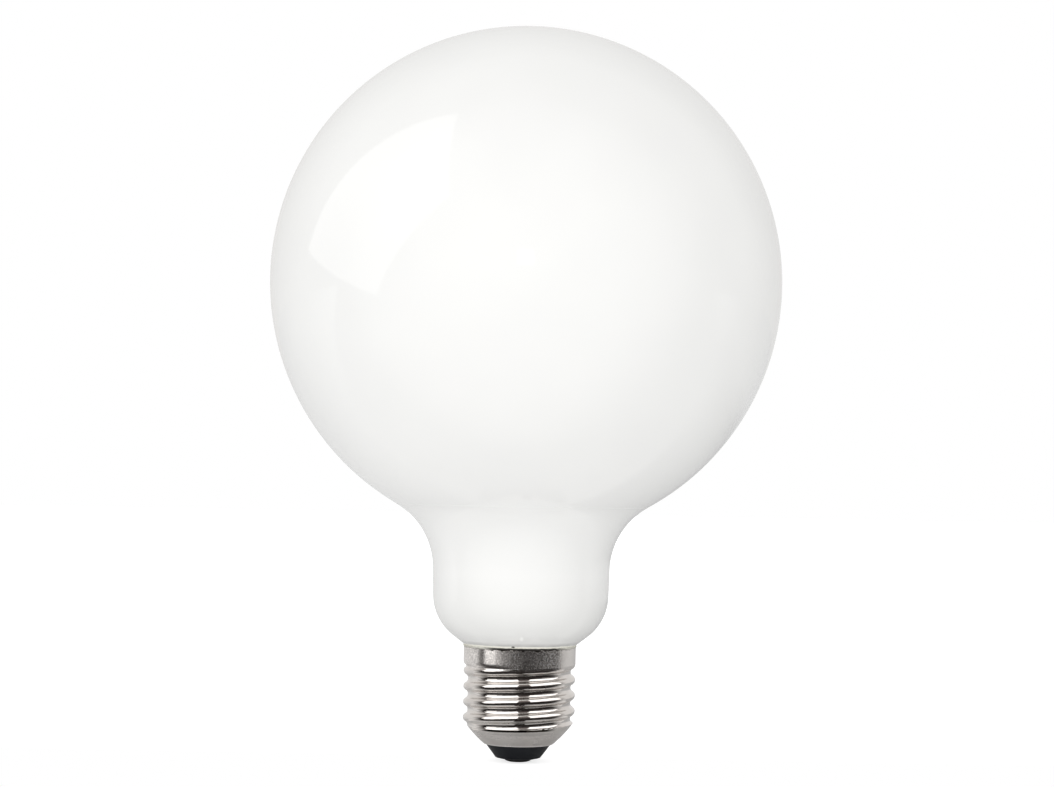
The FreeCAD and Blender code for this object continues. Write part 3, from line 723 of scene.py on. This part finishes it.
def makeFloor():
    # A table top that reaches far back. Its round front edge is just ahead of the bulb, and has a small notch
    wide, front, start = studio["tableWide"], studio["tableFront"], studio["tableStart"]
    left, right, inset = studio["notch"]
    lift = math.degrees(math.asin(start / front))
    middle = Vector((0, 0))
    edge = arcRun(middle, front, 180 - lift, left, 24) + arcRun(middle, inset, left, right, 4)
    edge += arcRun(middle, front, right, 360 + lift, 24)
    corners = [(wide, start), (wide, wide), (-wide, wide), (-wide, start)]
    outline = [Vector(corner) for corner in corners] + edge
    mesh = bpy.data.meshes.new("studioFloor")
    mesh.from_pydata([(point.x, point.y, 0) for point in outline], [], [range(len(outline))])
    floor = bpy.data.objects.new("studioFloor", mesh)
    floor.location.z = -studio["tableDrop"]
    scene.collection.objects.link(floor)
    material, tree, shader, place = startMaterial("paleFloor")
    pale = studio["tableGrey"]
    dimmed = [channel * studio["mottle"] for channel in pale[:3]] + [1]
    mottle = blendColours(tree, grainAt(tree, place, studio["mottleSize"]), pale, dimmed)
    tree.links.new(mottle, shader.inputs["Base Color"])
    shader.inputs["Roughness"].default_value = studio["tableRough"]
    shader.inputs["Specular IOR Level"].default_value = studio["tableSheen"]
    shader.inputs["Emission Color"].default_value = (1, 1, 1, 1)
    path, seen = backgroundRays(tree)
    spots = addNode(tree, "ShaderNodeSeparateXYZ", {"Vector": place}).outputs
    # The floor's glow in reflections is painted light, brighter on the left and far back on the right
    shine = between(tree, spots["X"], *studio["shineFade"], *studio["tableShine"])  # lit more on the left
    aside = between(tree, spots["X"], *studio["farSide"], 0, studio["farShine"])  # and far back on the right
    shine = calc(tree, "MULTIPLY_ADD", aside, between(tree, spots["Y"], *studio["farBack"]), shine)
    apart = calc(tree, "SUBTRACT", shine, studio["tableGlow"])
    glow = calc(tree, "MULTIPLY_ADD", apart, path["Is Glossy Ray"], studio["tableGlow"])
    tree.links.new(calc(tree, "MULTIPLY", seen, glow), shader.inputs["Emission Strength"])
    mesh.materials.append(material)


def makeWorld():
    world = bpy.data.worlds.new("studioRoom")
    scene.world = world
    world.use_nodes = True
    tree = world.node_tree
    back = tree.nodes["Background"]
    path, seen = backgroundRays(tree)
    way = addNode(tree, "ShaderNodeTexCoord").outputs["Generated"]
    axes = addNode(tree, "ShaderNodeSeparateXYZ", {"Vector": way}).outputs
    aloft = between(tree, axes["Z"], *studio["roomFade"])
    room = blendColours(tree, aloft, studio["room"], studio["roomTop"])
    behind = between(tree, axes["Y"], *studio["sweepFade"])
    mirrored = blendColours(tree, behind, room, studio["sweep"])
    colour = blendColours(tree, path["Is Glossy Ray"], (1, 1, 1, 1), mirrored)
    tree.links.new(colour, back.inputs["Color"])
    facing = {0: way, 1: studio["brightest"]}
    facing = addNode(tree, "ShaderNodeVectorMath", facing, operation="DOT_PRODUCT").outputs["Value"]
    soft = calc(tree, "MULTIPLY_ADD", facing, studio["ahead"], studio["ambient"])
    soft = calc(tree, "MAXIMUM", soft, 0)
    strength = calc(tree, "MULTIPLY_ADD", calc(tree, "SUBTRACT", 1, soft), seen, soft)
    tree.links.new(strength, back.inputs["Strength"])


# Each lamp: its place from the globe's middle or its bearing, its size in metres, its radiance, what shows it
panel = {"reach": 0.5, "on": "cap"}
lowLeftSpan = (-0.045, 0.09)
lowRightSpan = (-0.03, 0.1)
lamps = {
    "leftBox": {"centre": (-0.498, -0.224, 0.274), "facing": (0.861, -0.159, -0.483),
                "up": (0.374, -0.446, 0.813), "size": (0.553, 0.687), "radiance": 0.9, "on": "glass"},
    "smallLamp": {"azimuth": -0.3, "reach": 0.88, "span": (0.165, 0.257), "width": 0.1, "radiance": 1.6,
                  "on": "glass"},
    "frontLeft": {"azimuth": -43, "span": (0.09, 1.6), "width": 0.82, "radiance": 1.7},
    "lowLeft": {"azimuth": -63, "span": lowLeftSpan, "width": 0.22, "radiance": 1.12},
    "midLeft": {"azimuth": -44, "span": lowLeftSpan, "width": 0.13, "radiance": 0.5},
    "nearLeft": {"azimuth": -29, "span": lowLeftSpan, "width": 0.14, "radiance": 0.17},
    "aheadLow": {"azimuth": -7, "span": lowLeftSpan, "width": 0.25, "radiance": 0.025},
    "frontRight": {"azimuth": 60, "span": (0.13, 1.6), "width": 0.75, "radiance": 1.6},
    "midRight": {"azimuth": 43, "span": lowRightSpan, "width": 0.18, "radiance": 0.05},
    "lowRight": {"azimuth": 71, "span": lowRightSpan, "width": 0.34, "radiance": 0.19},
    "backSoft": {"azimuth": 180, "reach": 1.2, "span": (0.1, 1.1), "width": 1.0, "radiance": 2.2,
                 "on": "glass", "matte": True},
}


def makeLamps(groups):
    middle = Vector((0, 0, (glassSpan["high"] - glassSpan["radius"]) * mm))
    for name, given in lamps.items():
        lamp = dict(panel, **given)
        light = bpy.data.lights.new(name, "AREA")
        light.shape = "RECTANGLE"
        if "centre" in lamp:
            light.size, light.size_y = lamp["size"]
            spot = middle + Vector(lamp["centre"])
            ahead = Vector(lamp["facing"]).normalized()
            up = Vector(lamp["up"])
        else:  # an upright panel; azimuth 0 is towards the camera and grows to the picture's right
            low, high = lamp["span"]
            light.size, light.size_y = lamp["width"], high - low
            azimuth = math.radians(lamp["azimuth"])
            ahead = Vector((-math.sin(azimuth), math.cos(azimuth), 0))
            spot = Vector((0, 0, (low + high) / 2)) - ahead * lamp["reach"]
            up = Vector((0, 0, 1))
        light.energy = lamp["radiance"] * math.pi * light.size * light.size_y
        side = ahead.cross(up).normalized()
        up = side.cross(ahead)
        holder = bpy.data.objects.new(name, light)
        scene.collection.objects.link(holder)
        turn = Matrix((side, up, -ahead)).transposed().to_4x4()
        holder.matrix_world = Matrix.Translation(spot) @ turn
        holder.visible_camera = False
        holder.visible_diffuse = "matte" in lamp
        holder.visible_glossy = "matte" not in lamp
        holder.light_linking.receiver_collection = groups[lamp["on"]]


# Camera: a little under the globe's middle, looking slightly up, and rolled because the pictured bulb leans
view = {
    "distance": 0.58, "height": 0.066, "pitch": 1.985, "across": 0.00065, "widthAtBulb": 0.2476, "roll": 1.0,
    "sensor": 36, "near": 0.01,
}


def makeCamera():
    lens = bpy.data.cameras.new("photoView")
    lens.sensor_width = view["sensor"]
    lens.lens = lens.sensor_width * view["distance"] / view["widthAtBulb"]
    lens.clip_start = view["near"]
    camera = bpy.data.objects.new("photoView", lens)
    scene.collection.objects.link(camera)
    spot = Matrix.Translation((view["across"], -view["distance"], view["height"]))
    upright = Matrix.Rotation(math.radians(90 + view["pitch"]), 4, "X")
    camera.matrix_world = spot @ upright @ Matrix.Rotation(math.radians(view["roll"]), 4, "Z")
    scene.camera = camera


makeFloor()
makeWorld()
makeLamps(groups)
makeCamera()
scene.view_settings.view_transform = "Standard"
print("studio set")
